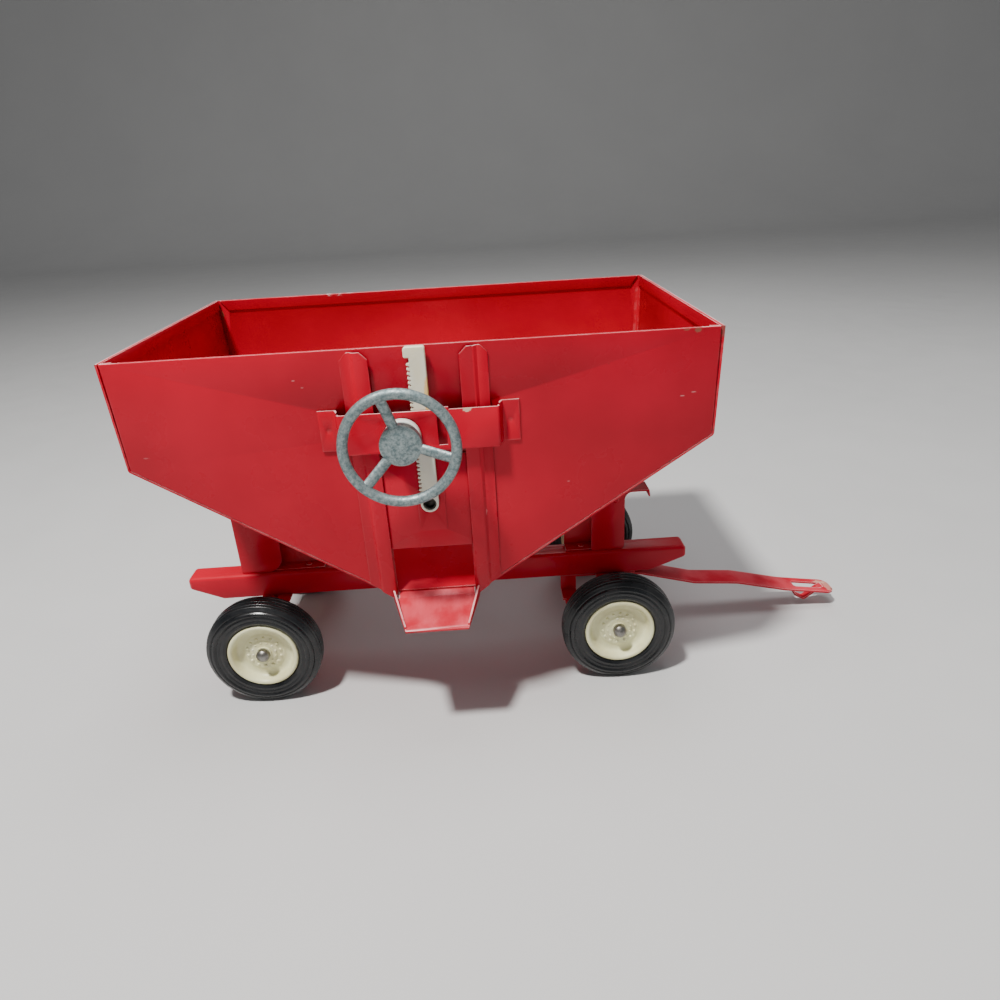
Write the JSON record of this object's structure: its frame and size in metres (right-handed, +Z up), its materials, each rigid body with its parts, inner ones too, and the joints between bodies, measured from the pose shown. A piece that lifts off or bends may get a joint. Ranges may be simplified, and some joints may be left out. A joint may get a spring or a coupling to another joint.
{
  "type": "toy gravity wagon",
  "caption": "Pressed-steel toy gravity wagon: hopper with a geared discharge gate, steering front axle, rolling wheels and a drawbar.",
  "frame": {"origin": "middle of the bounding box on the ground", "axes": "+X forward along the drawbar, +Y away from the discharge side, +Z up"},
  "size_m": [0.359, 0.1738, 0.1793],
  "materials": {
    "red_enamel": "gloss",
    "chute_enamel": "gloss, worn lip",
    "frame_enamel": "gloss, dusty",
    "tongue_enamel": "gloss, worn tip",
    "zinc": "satin",
    "rack_plastic": "satin",
    "pinion_plastic": "satin",
    "rim_plastic": "satin",
    "tyre_rubber": "semi gloss",
    "steel": "satin",
    "dark_steel": "matte",
    "cap_steel": "satin"
  },
  "bodies": {
    "wagon": {"discharge_panel": "red_enamel", "far_wall_and_floor": "red_enamel", "front_end_sheet": "red_enamel", "rear_end_sheet": "red_enamel", "front_guide_rail": "red_enamel", "rear_guide_rail": "red_enamel", "bridge_bracket": "red_enamel", "discharge_chute": "chute_enamel", "frame_channel": "frame_enamel", "front_support": "frame_enamel", "rear_support": "frame_enamel", "support_rivets": "frame_enamel", "rear_axle_bracket": "frame_enamel", "kingpin": "steel", "rear_bracket_rivet": "steel", "rivet_spacers": "steel", "rear_axle_rod": "steel", "rear_axle_caps": "cap_steel"},
    "steering": {"front_bolster": "frame_enamel", "front_bolster_strap": "frame_enamel", "tongue": "tongue_enamel", "tongue_rivets": "steel", "front_axle_rod": "steel", "front_axle_caps": "cap_steel"},
    "crank": {"hand_wheel": "zinc", "rack_pinion": "pinion_plastic", "hand_wheel_shaft": "steel"},
    "gate": {"gate_plate": "red_enamel", "gate_rack": "rack_plastic", "gate_eyelet": "dark_steel"},
    "front_near_wheel": {"front_near_rim": "rim_plastic", "front_near_tyre": "tyre_rubber"},
    "front_far_wheel": {"front_far_rim": "rim_plastic", "front_far_tyre": "tyre_rubber"},
    "rear_near_wheel": {"rear_near_rim": "rim_plastic", "rear_near_tyre": "tyre_rubber"},
    "rear_far_wheel": {"rear_far_rim": "rim_plastic", "rear_far_tyre": "tyre_rubber"}
  },
  "joints": [
    {"name": "steer", "type": "hinge", "parent": "wagon", "child": "steering", "pos_m": [0.0535, 0.01145, 0.031], "axis": [0, 0, 1], "range_deg": [-35, 35]},
    {"name": "turn_hand_wheel", "type": "hinge", "parent": "wagon", "child": "crank", "pos_m": [-0.0463, -0.08405, 0.1445], "axis": [0, -1, 0], "range_deg": [-282, 99]},
    {"name": "lift_gate", "type": "slide", "parent": "wagon", "child": "gate", "axis": [0, 0, 1], "range_m": [-0.0227, 0.008]},
    {"name": "spin_front_near_wheel", "type": "hinge", "parent": "steering", "child": "front_near_wheel", "pos_m": [0.0465, -0.03985, 0.028], "axis": [0, 1, 0], "continuous": true},
    {"name": "spin_front_far_wheel", "type": "hinge", "parent": "steering", "child": "front_far_wheel", "pos_m": [0.0465, 0.06275, 0.028], "axis": [0, 1, 0], "continuous": true},
    {"name": "spin_rear_near_wheel", "type": "hinge", "parent": "wagon", "child": "rear_near_wheel", "pos_m": [-0.1291, -0.03985, 0.028], "axis": [0, 1, 0], "continuous": true},
    {"name": "spin_rear_far_wheel", "type": "hinge", "parent": "wagon", "child": "rear_far_wheel", "pos_m": [-0.1291, 0.06275, 0.028], "axis": [0, 1, 0], "continuous": true}
  ],
  "couplings": [
    {"joint": "lift_gate", "follows": "turn_hand_wheel", "m_per_rad": 0.0046}
  ]
}
